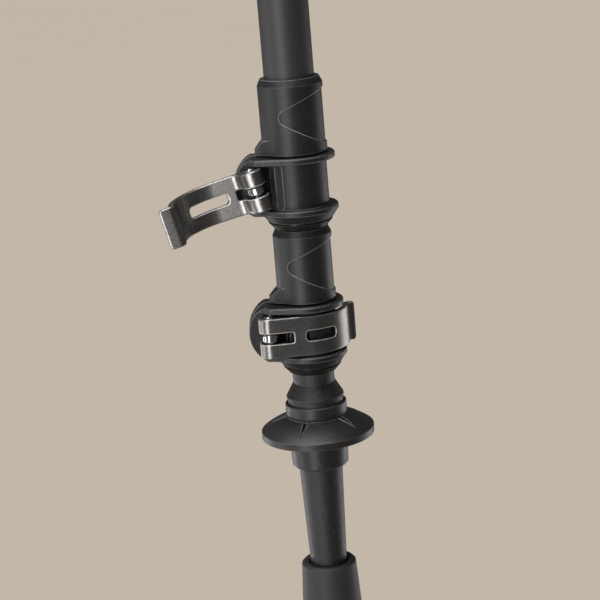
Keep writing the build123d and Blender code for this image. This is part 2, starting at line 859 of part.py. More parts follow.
slits = slit_wedges(slit_width)
with BuildPart() as basket:
    with BuildSketch(Plane.XZ):
        with BuildLine():
            disc_top = ThreePointArc(disc_top_start, disc_top_middle, disc_top_end)
            Polyline(
                disc_top @ 1,
                (basket_collar_r, collar_low + 1.2),
                (basket_collar_r, collar_top - 0.3),
                (basket_collar_r - 0.3, collar_top),
                (ferrule_band_r + thread_clearance, collar_top),
                (ferrule_band_r + thread_clearance, band_bottom - thread_clearance),
                (thread_r + thread_clearance, band_bottom - thread_clearance),
                (thread_r + thread_clearance, disc_low),
                (thread_r - 0.5, disc_low),
                (thread_r - 0.5, basket_low),
                (basket_skirt_r - basket_skirt_taper - 0.5, basket_low),
                (basket_skirt_r - basket_skirt_taper, basket_low + 0.5),
                (basket_skirt_r, disc_low + 1.6),
                (basket_r - 1.4, disc_low),
                (basket_r, disc_low + 0.5),
                (basket_r, disc_edge - 0.3),
                disc_top @ 0,
            )
        make_face()
    revolve(axis=Axis.Z)
    add(slit_lips.part)
    add(slits, mode=Mode.SUBTRACT)
write("basket", basket.part)

# --- Rubber foot -----------------------------------------------------------------------------
shaft_slope = (shaft_top_r - shaft_end_r) / (disc_low - shaft_end_z)


def shaft_r(z):
    """Radius of the ferrule's tapered shaft at a height."""
    return shaft_end_r + (z - shaft_end_z) * shaft_slope


with BuildPart() as rubber_foot:
    with BuildSketch(Plane.XZ):
        with BuildLine():
            base = Polyline((0, 0), (foot_sole_r - 1.5, 0), (foot_sole_r, 1.5), (foot_sole_r, 5.5))
            flare = Spline(
                (foot_sole_r, 5.5),
                (foot_waist_r + 0.7, foot_waist_z * 0.55),
                (foot_waist_r, foot_waist_z),
                tangents=((-0.25, 1), (foot_mouth_r - foot_waist_r, foot_height - foot_waist_z)),
            )
            Polyline(
                flare @ 1,
                (foot_mouth_r, foot_height - 0.8),
                (foot_mouth_r - 0.8, foot_height),
                (shaft_r(foot_height) + foot_mouth_gap + 0.5, foot_height),
                (shaft_r(foot_height) + foot_mouth_gap, foot_height - 0.5),
                (shaft_r(foot_height) + foot_mouth_gap, foot_height - foot_lip),
                (shaft_r(foot_height - foot_lip) + slide_clearance, foot_height - foot_lip),
                (shaft_end_r + slide_clearance, shaft_end_z),
                (shaft_end_r + slide_clearance, foot_floor),
                (0, foot_floor),
                (0, 0),
            )
        make_face()
    revolve(axis=Axis.Z)
    with BuildSketch(Plane.XY):
        with GridLocations(tread_pitch, tread_pitch, 4, 1):
            Rectangle(tread_groove, 2 * foot_sole_r + 2)
        with GridLocations(tread_pitch, tread_pitch, 1, 4):
            Rectangle(2 * foot_sole_r + 2, tread_groove)
    extrude(amount=tread_depth, mode=Mode.SUBTRACT)
write("rubber_foot", rubber_foot.part)

ring("foot_disc", shaft_end_r - 0.1, 0.9, foot_floor + 0.02, foot_floor + 1.6, edge=0.2)

# --- Grip ------------------------------------------------------------------------------------
# Sections of the foam, from its ring up to the head: share of the length, half depth along X,
# half width along Y, and how far the section sits forward (-X is towards the fingers).
foam_sections = [
    (0.00, 14.6, 13.4, 0.0),
    (0.10, 14.0, 13.0, 0.0),
    (0.30, 15.6, 13.8, -0.4),
    (0.48, 16.6, 14.6, -0.6),
    (0.66, 15.6, 14.2, 0.0),
    (0.84, 17.4, 15.4, 0.8),
    (1.00, 18.4, 16.0, 1.4),
]
with BuildPart() as grip_foam:
    for share, half_x, half_y, shift in foam_sections:
        with BuildSketch(Plane.XY.offset(grip_low + share * grip_length)):
            with Locations((shift, 0)):
                Ellipse(half_x, half_y)
    loft()
    with BuildSketch(Plane.XY.offset(grip_low - 1)):
        Circle(upper_tube_r + glue_gap)
    extrude(amount=grip_length + 2, mode=Mode.SUBTRACT)
write("grip_foam", grip_foam.part)

# Sections of the head: height, half depth, half width and how far forward it sits.
head_sections = [
    (0.0, 18.6, 16.2, 1.4),
    (10.0, 20.2, 16.8, 0.6),
    (24.0, 20.6, 16.6, -1.6),
    (33.0, 17.4, 14.2, -2.8),
    (37.8, 12.6, 10.2, -3.6),
    (head_height, 6.0, 4.8, -4.2),
]
with BuildPart() as grip_head:
    for height, half_x, half_y, shift in head_sections:
        with BuildSketch(Plane.XY.offset(head_low + height)):
            with Locations((shift, 0)):
                Ellipse(half_x, half_y)
    loft()
    with BuildSketch(Plane.XY.offset(head_low - 1)):
        Circle(upper_tube_r + glue_gap)
    extrude(amount=upper_tube_top - head_low + 1 + glue_gap, mode=Mode.SUBTRACT)
    # The slot behind is a wedge that lets the strap swing, and the strap's pin crosses it.
    with BuildSketch(Plane.XZ.offset(-strap_width / 2 - 0.6)):
        with Locations((strap_pin_x, strap_pin_z)):
            Circle(strap_eye_r + 0.5)
        with BuildLine():
            Polyline(
                (strap_pin_x - 2, strap_pin_z + strap_eye_r + 0.5),
                (strap_pin_x + 16, strap_pin_z + strap_eye_r + 9),
                (strap_pin_x + 16, strap_pin_z - strap_eye_r - 12),
                (strap_pin_x - 2, strap_pin_z - strap_eye_r - 0.5),
                close=True,
            )
        make_face()
    extrude(amount=strap_width + 1.2, mode=Mode.SUBTRACT)
    with BuildSketch(Plane.XZ):
        with Locations((strap_pin_x, strap_pin_z)):
            Circle(strap_pin_r)
    extrude(amount=strap_pin_length / 2, both=True, mode=Mode.SUBTRACT)
write("grip_head", grip_head.part)

with BuildPart() as strap_pin:
    with BuildSketch(Plane.XZ):
        with Locations((strap_pin_x, strap_pin_z)):
            Circle(strap_pin_r)
    extrude(amount=strap_pin_length / 2, both=True)
write("strap_pin", strap_pin.part)

# The webbing loop: round the pin, out of the slot and down behind the grip. Each corner of its
# outline has its own radius.
strap_corners = [
    ((strap_pin_x - strap_eye_r, strap_pin_z + strap_eye_r), strap_eye_r - 0.3),
    ((strap_pin_x + 17, strap_pin_z + strap_eye_r - 1.5), 12),
    ((strap_reach - 8, strap_pin_z - 62), 60),
    ((strap_reach - 8, strap_pin_z - 150), 60),
    ((strap_reach - 20, strap_pin_z - strap_drop), 9),
    ((strap_reach - 30, strap_pin_z - 150), 60),
    ((strap_pin_x + 15, strap_pin_z - strap_eye_r - 12), 20),
    ((strap_pin_x + 5, strap_pin_z - strap_eye_r), 5),
    ((strap_pin_x - strap_eye_r, strap_pin_z - strap_eye_r), strap_eye_r - 0.3),
]
with BuildPart() as wrist_strap:
    with BuildSketch(Plane.XZ) as strap_side:
        with BuildLine():
            Polyline(*[corner for corner, _radius in strap_corners], close=True)
        make_face()
        for corner, radius in strap_corners:
            fillet(strap_side.vertices().sort_by_distance(corner)[0], radius)
        offset(amount=-strap_thickness, mode=Mode.SUBTRACT)
    extrude(amount=strap_width / 2, both=True)
write("wrist_strap", wrist_strap.part)

ring("grip_ring", 15.4, upper_tube_r + glue_gap, grip_low - grip_ring_height, grip_low, edge=0.8)
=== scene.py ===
"""Looks of a three-section trekking pole: finishes for every CAD piece, the foam grip, the
webbing strap, and a pale studio with soft light. Metres, in the frame of the CAD model."""

import math

import bmesh
import bpy
from mathutils import Matrix, Vector


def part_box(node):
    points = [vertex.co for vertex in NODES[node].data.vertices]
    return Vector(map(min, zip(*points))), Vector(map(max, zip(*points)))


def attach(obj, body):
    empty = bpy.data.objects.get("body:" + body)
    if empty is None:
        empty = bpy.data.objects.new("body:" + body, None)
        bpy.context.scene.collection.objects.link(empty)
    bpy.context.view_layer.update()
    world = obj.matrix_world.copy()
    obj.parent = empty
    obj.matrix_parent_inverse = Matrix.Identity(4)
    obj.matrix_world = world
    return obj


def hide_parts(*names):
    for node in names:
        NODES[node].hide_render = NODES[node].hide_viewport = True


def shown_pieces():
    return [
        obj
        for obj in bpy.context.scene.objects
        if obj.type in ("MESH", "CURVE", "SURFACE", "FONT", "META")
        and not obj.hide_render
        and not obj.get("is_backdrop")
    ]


bl_info = {
    "name": "Trekking Pole Looks",
    "version": (1, 0, 0),
    "blender": (4, 5, 0),
    "location": "3D View > Sidebar > Pole",
    "description": "Finishes, foam grip, wrist strap and studio for a telescoping trekking pole",
    "category": "Object",
}

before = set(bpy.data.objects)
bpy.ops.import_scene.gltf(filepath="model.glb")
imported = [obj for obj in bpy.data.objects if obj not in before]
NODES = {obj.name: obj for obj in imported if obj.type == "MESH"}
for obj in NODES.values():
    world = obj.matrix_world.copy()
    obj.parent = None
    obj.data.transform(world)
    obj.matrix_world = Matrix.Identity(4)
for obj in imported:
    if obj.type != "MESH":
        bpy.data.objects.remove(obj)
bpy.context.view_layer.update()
MM = 0.001
SIDES = ("upper", "lower")


def linear(hex_value):
    """Turns an sRGB hex colour such as "2b2a29" into linear red, green, blue and alpha."""
    parts = [int(hex_value[i : i + 2], 16) / 255 for i in (0, 2, 4)]
    return [c / 12.92 if c <= 0.04045 else ((c + 0.055) / 1.055) ** 2.4 for c in parts] + [1.0]


def colour_prop(name, description, hex_value):
    """A colour setting with its default given as sRGB hex."""
    return bpy.props.FloatVectorProperty(
        name=name,
        description=description,
        subtype="COLOR",
        size=4,
        min=0.0,
        max=1.0,
        default=linear(hex_value),
    )


def size_prop(name, description, millimetres):
    """A length setting with its default given in millimetres."""
    return bpy.props.FloatProperty(
        name=name, description=description, unit="LENGTH", default=millimetres * MM, min=0.0
    )


class PoleColours(bpy.types.PropertyGroup):
    """Colours of the pole's finishes and of the studio."""

    tube: colour_prop("Tube", "Black anodised aluminium of the three tubes", "2d2c2b")
    nylon: colour_prop("Clamp nylon", "Glass-filled nylon of the lever clamps", "1f1e1e")
    acetal: colour_prop("Acetal", "Bushes and tension dials", "1b1b1a")
    tip: colour_prop("Tip nylon", "Coarse nylon of the ferrule and its shaft", "272625")
    basket: colour_prop("Basket", "Moulded nylon of the basket", "262524")
    rubber: colour_prop("Rubber", "Vulcanised rubber of the foot", "2f2e2c")
    lever: colour_prop("Lever metal", "Shot-blasted cast aluminium of the levers", "8d8b87")
    steel: colour_prop("Steel", "Nickel-plated pins and eye bolts", "c9c8c4")
    carbide: colour_prop("Carbide", "Sintered tungsten carbide of the point", "77767a")
    foam: colour_prop("Foam", "Closed-cell EVA foam of the grip", "252525")
    head: colour_prop("Grip head", "Soft-touch plastic of the grip's head and ring", "262626")
    webbing: colour_prop("Webbing", "Woven nylon webbing of the wrist strap", "28282a")
    thread: colour_prop("Thread", "Bonded thread of the strap's seams", "4a4a4c")
    floor: colour_prop("Floor", "Seamless paper floor", "ccbfb0")


class PoleSizes(bpy.types.PropertyGroup):
    """Sizes of the textures and of the soft pieces."""

    nylon_grain: size_prop("Nylon grain", "Spacing of the spark-eroded mould texture", 0.45)
    metal_grain: size_prop("Shot grain", "Spacing of the shot-blasted dimples", 0.32)
    tube_grain: size_prop("Anodised grain", "Spacing of the tubes' matt grain", 0.5)
    foam_cell: size_prop("Foam cell", "Width of the EVA foam's cells", 0.6)
    finger_depth: size_prop("Finger depth", "Depth of the grip's finger hollows", 1.3)
    groove_depth: size_prop("Groove depth", "Depth of the grooves across the grip's back", 0.9)
    groove_pitch: size_prop("Groove pitch", "Spacing of the grooves across the back", 8.0)
    webbing_width: size_prop("Webbing width", "Width of the wrist strap", 20.0)
    webbing_thickness: size_prop("Webbing thickness", "Thickness of the wrist strap", 1.5)
    rib_pitch: size_prop("Webbing rib", "Spacing of the webbing's woven ribs", 1.6)
    stitch_length: size_prop("Stitch length", "Length of one stitch in the strap's seams", 2.6)


# --- Node helpers ----------------------------------------------------------------------------
def add_node(tree, kind, inputs=None, **settings):
    """Adds a node: settings are its properties, inputs are values or sockets by name or index."""
    made = tree.nodes.new(kind)
    for name, value in settings.items():
        setattr(made, name, value)
    for key, value in (inputs or {}).items():
        if isinstance(value, bpy.types.NodeSocket):
            tree.links.new(value, made.inputs[key])
        else:
            made.inputs[key].default_value = value
    return made


def new_material(name, colour, roughness, metallic=0.0):
    """An empty material with its principled shader, whose constants sit on its own sockets."""
    material = bpy.data.materials.new(name)
    material.use_nodes = True
    material.diffuse_color = colour
    shader = material.node_tree.nodes["Principled BSDF"]
    shader.inputs["Base Color"].default_value = colour
    shader.inputs["Roughness"].default_value = roughness
    shader.inputs["Metallic"].default_value = metallic
    return material, material.node_tree, shader


def shade(colour, factor):
    """A lighter or darker version of a colour."""
    return [min(1.0, c * factor) for c in colour[:3]] + [1.0]


def grained(name, colour, grain, roughness, **look):
    """A material with a fine grain: mottled colour, uneven gloss, small dents and soft edges.

    contrast: how far the grain's colour swings. gloss_spread: how far its roughness swings.
    dent and bump: depth of the grain in metres and how strongly it shows. cloud: width of the
    larger mottling. edge: radius that corners are rounded to. worn: colour
    painted on the edges as wear and as a highlight, by the share rub once
    the surface has turned as far as rub_at.
    metallic, ior and bare_rims act on the principled shader's own values.
    """
    material, tree, shader = new_material(name, colour, roughness, look.get("metallic", 0.0))
    if "ior" in look:
        shader.inputs["IOR"].default_value = look["ior"]
    contrast = look.get("contrast", 0.35)
    place = add_node(tree, "ShaderNodeTexCoord").outputs["Object"]
    fine = add_node(
        tree,
        "ShaderNodeTexNoise",
        {"Vector": place, "Scale": 1 / grain, "Detail": 3.0, "Roughness": 0.65},
    ).outputs["Fac"]
    cloud = add_node(
        tree,
        "ShaderNodeTexNoise",
        {"Vector": place, "Scale": 1 / look.get("cloud", 0.014), "Detail": 3.0},
    ).outputs["Fac"]
    mottled = add_node(
        tree,
        "ShaderNodeMix",
        {
            0: add_node(
                tree,
                "ShaderNodeMapRange",
                {"Value": fine, "From Min": 0.32, "From Max": 0.7},
            ).outputs["Result"],
            6: shade(colour, 1 - contrast),
            7: shade(colour, 1 + contrast),
        },
        data_type="RGBA",
    ).outputs[2]
    clouded = add_node(
        tree,
        "ShaderNodeMix",
        {
            0: add_node(
                tree,
                "ShaderNodeMapRange",
                {"Value": cloud, "From Min": 0.4, "From Max": 0.65, "To Max": 0.3},
            ).outputs["Result"],
            6: mottled,
            7: shade(colour, 1.35),
        },
        data_type="RGBA",
    ).outputs[2]
    # Corners are rounded by the bevel shader, and where it bends the surface the edge is painted
    # paler, partly as wear and partly as a painted highlight, in concave corners too.
    soft = add_node(
        tree, "ShaderNodeBevel", {"Radius": look.get("edge", 0.3 * MM)}, samples=8
    ).outputs["Normal"]
    flat = add_node(tree, "ShaderNodeNewGeometry").outputs["Normal"]
    turned = add_node(
        tree, "ShaderNodeVectorMath", {0: soft, 1: flat}, operation="DOT_PRODUCT"
    ).outputs["Value"]
    rubbed = add_node(
        tree,
        "ShaderNodeMapRange",
        {
            "Value": turned,
            "From Min": 0.995,
            "From Max": look.get("rub_at", 0.85),
            "To Max": look.get("rub", 0.6),
        },
    ).outputs["Result"]
    patchy = add_node(
        tree,
        "ShaderNodeMapRange",
        {"Value": cloud, "From Min": 0.35, "From Max": 0.6, "To Min": 0.6},
    ).outputs["Result"]
    rubbed = add_node(
        tree, "ShaderNodeMath", {0: rubbed, 1: patchy}, operation="MULTIPLY"
    ).outputs["Value"]
    if look.get("bare_rims"):
        # Rubbed rims of a blasted metal are scratched every way; here they turn partly
        # non-metallic, so that their pale painted highlight glows from any side.
        tree.links.new(
            add_node(
                tree,
                "ShaderNodeMapRange",
                {"Value": rubbed, "To Min": 1.0, "To Max": 0.35},
            ).outputs["Result"],
            shader.inputs["Metallic"],
        )
    # The pale colour, three times the base unless given, is painted over the edges as wear and as a
    # highlight.
    tree.links.new(
        add_node(
            tree,
            "ShaderNodeMix",
            {0: rubbed, 6: clouded, 7: look.get("worn", shade(colour, 3.0))},
            data_type="RGBA",
        ).outputs[2],
        shader.inputs["Base Color"],
    )
    spread = look.get("gloss_spread", 0.1)
    tree.links.new(
        add_node(
            tree,
            "ShaderNodeMapRange",
            {
                "Value": fine,
                "From Min": 0.3,
                "From Max": 0.7,
                "To Min": roughness - spread,
                "To Max": roughness + spread,
            },
        ).outputs["Result"],
        shader.inputs["Roughness"],
    )
    tree.links.new(
        add_node(
            tree,
            "ShaderNodeBump",
            {
                "Strength": look.get("bump", 0.6),
                "Distance": look.get("dent", 0.06 * MM),
                "Height": fine,
                "Normal": soft,
            },
        ).outputs["Normal"],
        shader.inputs["Normal"],
    )
    return material


# --- Finishes --------------------------------------------------------------------------------
def anodised_aluminium(looks, sizes):
    # Black anodised, bead-blasted tube: an even charcoal with a satin sheen and a faint grain,
    # which is drawn about five times as coarse as the real one so that it shows.
    return grained(
        "black_anodised_aluminium",
        looks.tube,
        sizes.tube_grain,
        0.52,
        ior=1.6,
        contrast=0.1,
        dent=0.008 * MM,
        edge=0.25 * MM,
        gloss_spread=0.03,
        # Pale colour painted on the edges as wear and as a highlight.
        worn=linear("8a8987"),
    )


def glass_filled_nylon(looks, sizes):
    # Moulded PA6 with glass fibre: nearly black and matt, with a spark-eroded grain that
    # breaks its highlights up, and pale edges painted on as a highlight and as wear.
    return grained(
        "moulded_glass_filled_nylon",
        looks.nylon,
        sizes.nylon_grain,
        0.44,
        ior=1.53,
        contrast=0.7,
        dent=0.13 * MM,
        edge=0.4 * MM,
        rub=1.0,
        rub_at=0.9,
        gloss_spread=0.16,
        # Pale colour painted on the edges as a highlight and as wear.
        worn=linear("a3a19e"),
    )


def acetal(looks, sizes):
    # Turned and moulded acetal: smoother and darker than the nylon, with a waxy gloss.
    return grained(
        "moulded_acetal",
        looks.acetal,
        sizes.nylon_grain,
        0.36,
        ior=1.48,
        contrast=0.2,
        dent=0.02 * MM,
        edge=0.25 * MM,
        # Pale colour painted on the edges as wear and as a highlight.
        worn=linear("5a5957"),
    )


def coarse_nylon(looks, sizes):
    # The tip's nylon comes from a sandblasted mould: a coarser grain with pale flecks.
    return grained(
        "moulded_coarse_nylon",
        looks.tip,
        sizes.nylon_grain * 1.3,
        0.45,
        ior=1.53,
        contrast=0.85,
        dent=0.22 * MM,
        bump=0.9,
        edge=0.3 * MM,
        gloss_spread=0.18,
        # Pale colour painted on the edges as wear and as a highlight.
        worn=linear("8d8b88"),
    )


def basket_nylon(looks, sizes):
    # The basket's softer nylon is a little smoother, with a dusty bloom over its disc.
    return grained(
        "moulded_basket_nylon",
        looks.basket,
        sizes.nylon_grain,
        0.42,
        ior=1.53,
        contrast=0.6,
        dent=0.11 * MM,
        edge=0.4 * MM,
        rub=0.9,
        gloss_spread=0.14,
        cloud=0.009,
        # Pale colour painted on the edges as wear and as a highlight.
        worn=linear("8a8885"),
    )


def vulcanised_rubber(looks, sizes):
    # Press-moulded rubber: a dull warm grey with a dry bloom and no sharp highlight.
    return grained(
        "moulded_vulcanised_rubber",
        looks.rubber,
        sizes.nylon_grain * 0.9,
        0.6,
        ior=1.52,
        contrast=0.3,
        dent=0.05 * MM,
        edge=0.5 * MM,
        cloud=0.02,
        # Pale colour painted on the edges as wear and as a highlight.
        worn=linear("6a6764"),
    )


def blasted_aluminium(looks, sizes):
    # Cast and shot-blasted aluminium: a grey sparkle of small dimples, and rims painted bright, as
    # rubbed metal and as a highlight.
    return grained(
        "shot_blasted_cast_aluminium",
        looks.lever,
        sizes.metal_grain,
        0.34,
        metallic=1.0,
        contrast=0.22,
        dent=0.04 * MM,
        bump=0.6,
        edge=0.8 * MM,
        rub=1.0,
        rub_at=0.93,
        # The rims' painted highlight shows from any side.
        bare_rims=True,
        cloud=0.006,
        # Pale colour painted on the rims as wear and as a highlight.
        worn=linear("e2e0dc"),
    )


def plated_steel(looks, sizes):
    # Nickel-plated steel: bright and smooth, with soft handling marks.
    return grained(
        "nickel_plated_steel",
        looks.steel,
        sizes.metal_grain * 2,
        0.2,
        metallic=1.0,
        contrast=0.12,
        dent=0.01 * MM,
        edge=0.3 * MM,
        cloud=0.003,
        gloss_spread=0.06,
        # Pale colour painted on the edges as wear and as a highlight.
        worn=linear("efeeea"),
    )


def sintered_carbide(looks, sizes):
    # Sintered and ground carbide: a dark blue-grey metal with a dull ground face.
    return grained(
        "sintered_tungsten_carbide",
        looks.carbide,
        sizes.metal_grain * 0.5,
        0.4,
        metallic=1.0,
        contrast=0.2,
        dent=0.02 * MM,
        edge=0.15 * MM,
        # Pale colour painted on the edges as wear and as a highlight.
        worn=linear("c4c3c6"),
    )


def eva_foam(looks, sizes):
    # Heat-pressed EVA foam: a dry, nearly black skin with closed cells that show as pinholes, whose
    # pits are painted darker as shade.
    # The cells are drawn about three times their real width so that they show.
    material, tree, shader = new_material("pressed_eva_foam", looks.foam, 0.78)
    shader.inputs["IOR"].default_value = 1.48
    shader.inputs["Sheen Weight"].default_value = 0.25
    shader.inputs["Sheen Roughness"].default_value = 0.6
    place = add_node(tree, "ShaderNodeTexCoord").outputs["Object"]
    cells = add_node(
        tree,
        "ShaderNodeTexVoronoi",
        {"Vector": place, "Scale": 1 / sizes.foam_cell, "Randomness": 1.0},
    ).outputs["Distance"]
    cloud = add_node(
        tree, "ShaderNodeTexNoise", {"Vector": place, "Scale": 90.0, "Detail": 4.0}
    ).outputs["Fac"]
    walls = add_node(
        tree, "ShaderNodeMapRange", {"Value": cells, "From Min": 0.1, "From Max": 0.5}
    ).outputs["Result"]
    # The skin is painted dark in the cells' pits, which the bump sinks, as shade, and lighter on
    # the walls between them.
    skin_with_painted_pit_shade = add_node(
        tree,
        "ShaderNodeMix",
        {0: walls, 6: shade(looks.foam, 0.45), 7: shade(looks.foam, 1.3)},
        data_type="RGBA",
    ).outputs[2]
    aged = add_node(
        tree,
        "ShaderNodeMapRange",
        {"Value": cloud, "From Min": 0.45, "From Max": 0.75, "To Max": 0.4},
    ).outputs["Result"]
    tree.links.new(
        add_node(
            tree,
            "ShaderNodeMix",
            {0: aged, 6: skin_with_painted_pit_shade, 7: shade(looks.foam, 2.0)},
            data_type="RGBA",
        ).outputs[2],
        shader.inputs["Base Color"],
    )
    tree.links.new(
        add_node(
            tree,
            "ShaderNodeBump",
            {"Strength": 0.7, "Distance": 0.12 * MM, "Height": walls},
        ).outputs["Normal"],
        shader.inputs["Normal"],
    )
    return material


def soft_touch_plastic(looks, sizes):
    # Moulded plastic with a soft-touch coat: deep black, silky and even.
    return grained(
        "soft_touch_moulded_plastic",
        looks.head,
        sizes.nylon_grain,
        0.55,
        ior=1.5,
        contrast=0.22,
        dent=0.03 * MM,
        edge=0.5 * MM,
        # Pale colour painted on the edges as wear and as a highlight.
        worn=linear("4c4b4a"),
    )


def woven_webbing(looks, sizes):
    # Woven nylon webbing: ribs along its length, crossed by fine picks, with a faint sheen.
    # The picks are drawn twice as wide as real ones so that they show.
    material, tree, shader = new_material("woven_nylon_webbing", looks.webbing, 0.62)
    shader.inputs["IOR"].default_value = 1.53
    shader.inputs["Sheen Weight"].default_value = 0.4
    shader.inputs["Sheen Roughness"].default_value = 0.4
    place = add_node(tree, "ShaderNodeUVMap", uv_map="cloth").outputs["UV"]
    split = add_node(tree, "ShaderNodeSeparateXYZ", {"Vector": place})
    along, across = split.outputs["X"], split.outputs["Y"]

    def maths(operation, *values):
        return add_node(
            tree, "ShaderNodeMath", dict(enumerate(values)), operation=operation
        ).outputs["Value"]

    def wave(value, pitch):
        """0 to 1 and back, once in each pitch."""
        sine = maths("SINE", maths("MULTIPLY", value, 2 * math.pi / pitch))
        return add_node(
            tree, "ShaderNodeMapRange", {"Value": sine, "From Min": -1.0, "From Max": 1.0}
        ).outputs["Result"]

    ribs = wave(across, sizes.rib_pitch)
    # Neighbouring ribs cross the picks half a pick apart, as in a plain weave.
    rib_side = maths("SIGN", maths("SINE", maths("MULTIPLY", across, math.pi / sizes.rib_pitch)))
    lean = maths("MULTIPLY", rib_side, 0.25 * sizes.rib_pitch)
    picks = wave(maths("ADD", along, lean), sizes.rib_pitch)
    weave = maths("MULTIPLY", ribs, picks)
    fuzz = add_node(
        tree, "ShaderNodeTexNoise", {"Vector": place, "Scale": 900.0, "Detail": 4.0}
    ).outputs["Fac"]
    # The hollows of the weave are painted darker as shade and the tops of its ribs lighter as a
    # highlight, varied at random by the fuzz.
    weave_shade_and_highlight = maths("MULTIPLY", weave, fuzz)
    tree.links.new(
        add_node(
            tree,
            "ShaderNodeMix",
            {0: weave_shade_and_highlight, 6: shade(looks.webbing, 0.5), 7: shade(looks.webbing, 2.6)},
            data_type="RGBA",
        ).outputs[2],
        shader.inputs["Base Color"],
    )
    tree.links.new(
        add_node(
            tree,
            "ShaderNodeBump",
            {"Strength": 0.9, "Distance": 0.2 * MM, "Height": weave},
        ).outputs["Normal"],
        shader.inputs["Normal"],
    )
    return material


def bonded_thread(looks, sizes):
    # Bonded polyester thread: a touch lighter and glossier than the webbing it is sewn into.
    return grained(
        "bonded_polyester_thread",
        looks.thread,
        0.3 * MM,
        0.5,
        contrast=0.3,
        dent=0.03 * MM,
        edge=0.1 * MM,
    )


def paper_floor(looks, sizes):
    # Seamless studio paper: matt and plain, with a barely visible tooth.
    material, tree, shader = new_material("seamless_paper", looks.floor, 0.95)
    shader.inputs["Specular IOR Level"].default_value = 0.1
    place = add_node(tree, "ShaderNodeTexCoord").outputs["Object"]
    tooth = add_node(
        tree, "ShaderNodeTexNoise", {"Vector": place, "Scale": 8.0, "Detail": 5.0}
    ).outputs["Fac"]
    tree.links.new(
        add_node(
            tree,
            "ShaderNodeMix",
            {0: tooth, 6: shade(looks.floor, 0.995), 7: shade(looks.floor, 1.005)},
            data_type="RGBA",
        ).outputs[2],
        shader.inputs["Base Color"],
    )
    return material


def dress(maker, *names):
    """Gives CAD nodes one finish."""
    scene = bpy.context.scene
    material = maker(scene.pole_colours, scene.pole_sizes)
    for name in names:
        mesh = NODES[name].data
        mesh.materials.clear()
        mesh.materials.append(material)


def add_mesh(name, vertices, faces, material, body, uv=None):
    """A smooth mesh piece with one material that rides on a CAD body."""
    mesh = bpy.data.meshes.new(name)
    mesh.from_pydata([tuple(v) for v in vertices], [], faces)
    mesh.validate()
    shell = bmesh.new()
    shell.from_mesh(mesh)
    bmesh.ops.recalc_face_normals(shell, faces=shell.faces)
    shell.to_mesh(mesh)
    shell.free()
    if uv:
        layer = mesh.uv_layers.new(name="cloth")
        for loop in mesh.loops:
            layer.data[loop.index].uv = uv[loop.vertex_index]
    for polygon in mesh.polygons:
        polygon.use_smooth = True
    piece = bpy.data.objects.new(name, mesh)
    mesh.materials.append(material)
    bpy.context.scene.collection.objects.link(piece)
    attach(piece, body)
    return piece


# --- Operators: the CAD pieces' finishes -----------------------------------------------------
class POLE_OT_tubes(bpy.types.Operator):
    """Finish the three telescoping tubes"""

    bl_idname = "pole.tubes"
    bl_label = "Tubes"

    def execute(self, context):
        dress(anodised_aluminium, "upper_tube", "middle_tube", "lower_tube")
        return {"FINISHED"}


class POLE_OT_clamps(bpy.types.Operator):
    """Finish the lever clamps, their bushes and their tension dials"""

    bl_idname = "pole.clamps"
    bl_label = "Clamps"

    def execute(self, context):
        dress(glass_filled_nylon, *(f"{side}_clamp_body" for side in SIDES))
        dress(
            acetal,
            *(f"{side}_{part}" for side in SIDES for part in ("clamp_bush", "tension_dial")),
            "middle_end_bush",
            "lower_end_bush",
        )
        return {"FINISHED"}


class POLE_OT_levers(bpy.types.Operator):
    """Finish the levers, their pins, eye bolts and washers"""

    bl_idname = "pole.levers"
    bl_label = "Levers"

    def execute(self, context):
        dress(blasted_aluminium, *(f"{side}_lever" for side in SIDES))
        dress(
            plated_steel,
            *(
                f"{side}_{part}"
                for side in SIDES
                for part in ("lever_pin", "eye_bolt", "dial_washer")
            ),
            "strap_pin",
            "point_holder",
            "foot_disc",
        )
        return {"FINISHED"}


class POLE_OT_tip(bpy.types.Operator):
    """Finish the tip, its carbide point, the basket and the rubber foot"""

    bl_idname = "pole.tip"
    bl_label = "Tip, basket and foot"

    def execute(self, context):
        dress(coarse_nylon, "ferrule")
        dress(basket_nylon, "basket")
        dress(vulcanised_rubber, "rubber_foot")
        dress(sintered_carbide, "carbide_point")
        return {"FINISHED"}


# --- Grip ------------------------------------------------------------------------------------
# Sections of the foam: share of the length, half depth, half width and shift, in millimetres.
FOAM_SECTIONS = (
    (0.00, 14.6, 13.4, 0.0),
    (0.10, 14.0, 13.0, 0.0),
    (0.30, 15.6, 13.8, -0.4),
    (0.48, 16.6, 14.6, -0.6),
    (0.66, 15.6, 14.2, 0.0),
    (0.84, 17.4, 15.4, 0.8),
    (1.00, 18.4, 16.0, 1.4),
)
FOAM_RINGS = 150
FOAM_SPOKES = 96
FOAM_EDGE = 1.4 * MM  # radius of the foam's end edges
TUBE_GAP = 0.05 * MM
FINGERS = 4
GROOVE_SHARE = 0.11  # width of a groove, as a share of their pitch
GROOVED = (0.1, 0.92)  # shares of the length between which the back is grooved


def section_at(share):
    """Half depth, half width and shift of the foam at a share of its length, eased between."""
    for low, high in zip(FOAM_SECTIONS, FOAM_SECTIONS[1:]):
        if share <= high[0]:
            t = (share - low[0]) / (high[0] - low[0])
            t = t * t * (3 - 2 * t)
            return [(a + (b - a) * t) * MM for a, b in zip(low[1:], high[1:])]
    return [value * MM for value in FOAM_SECTIONS[-1][1:]]


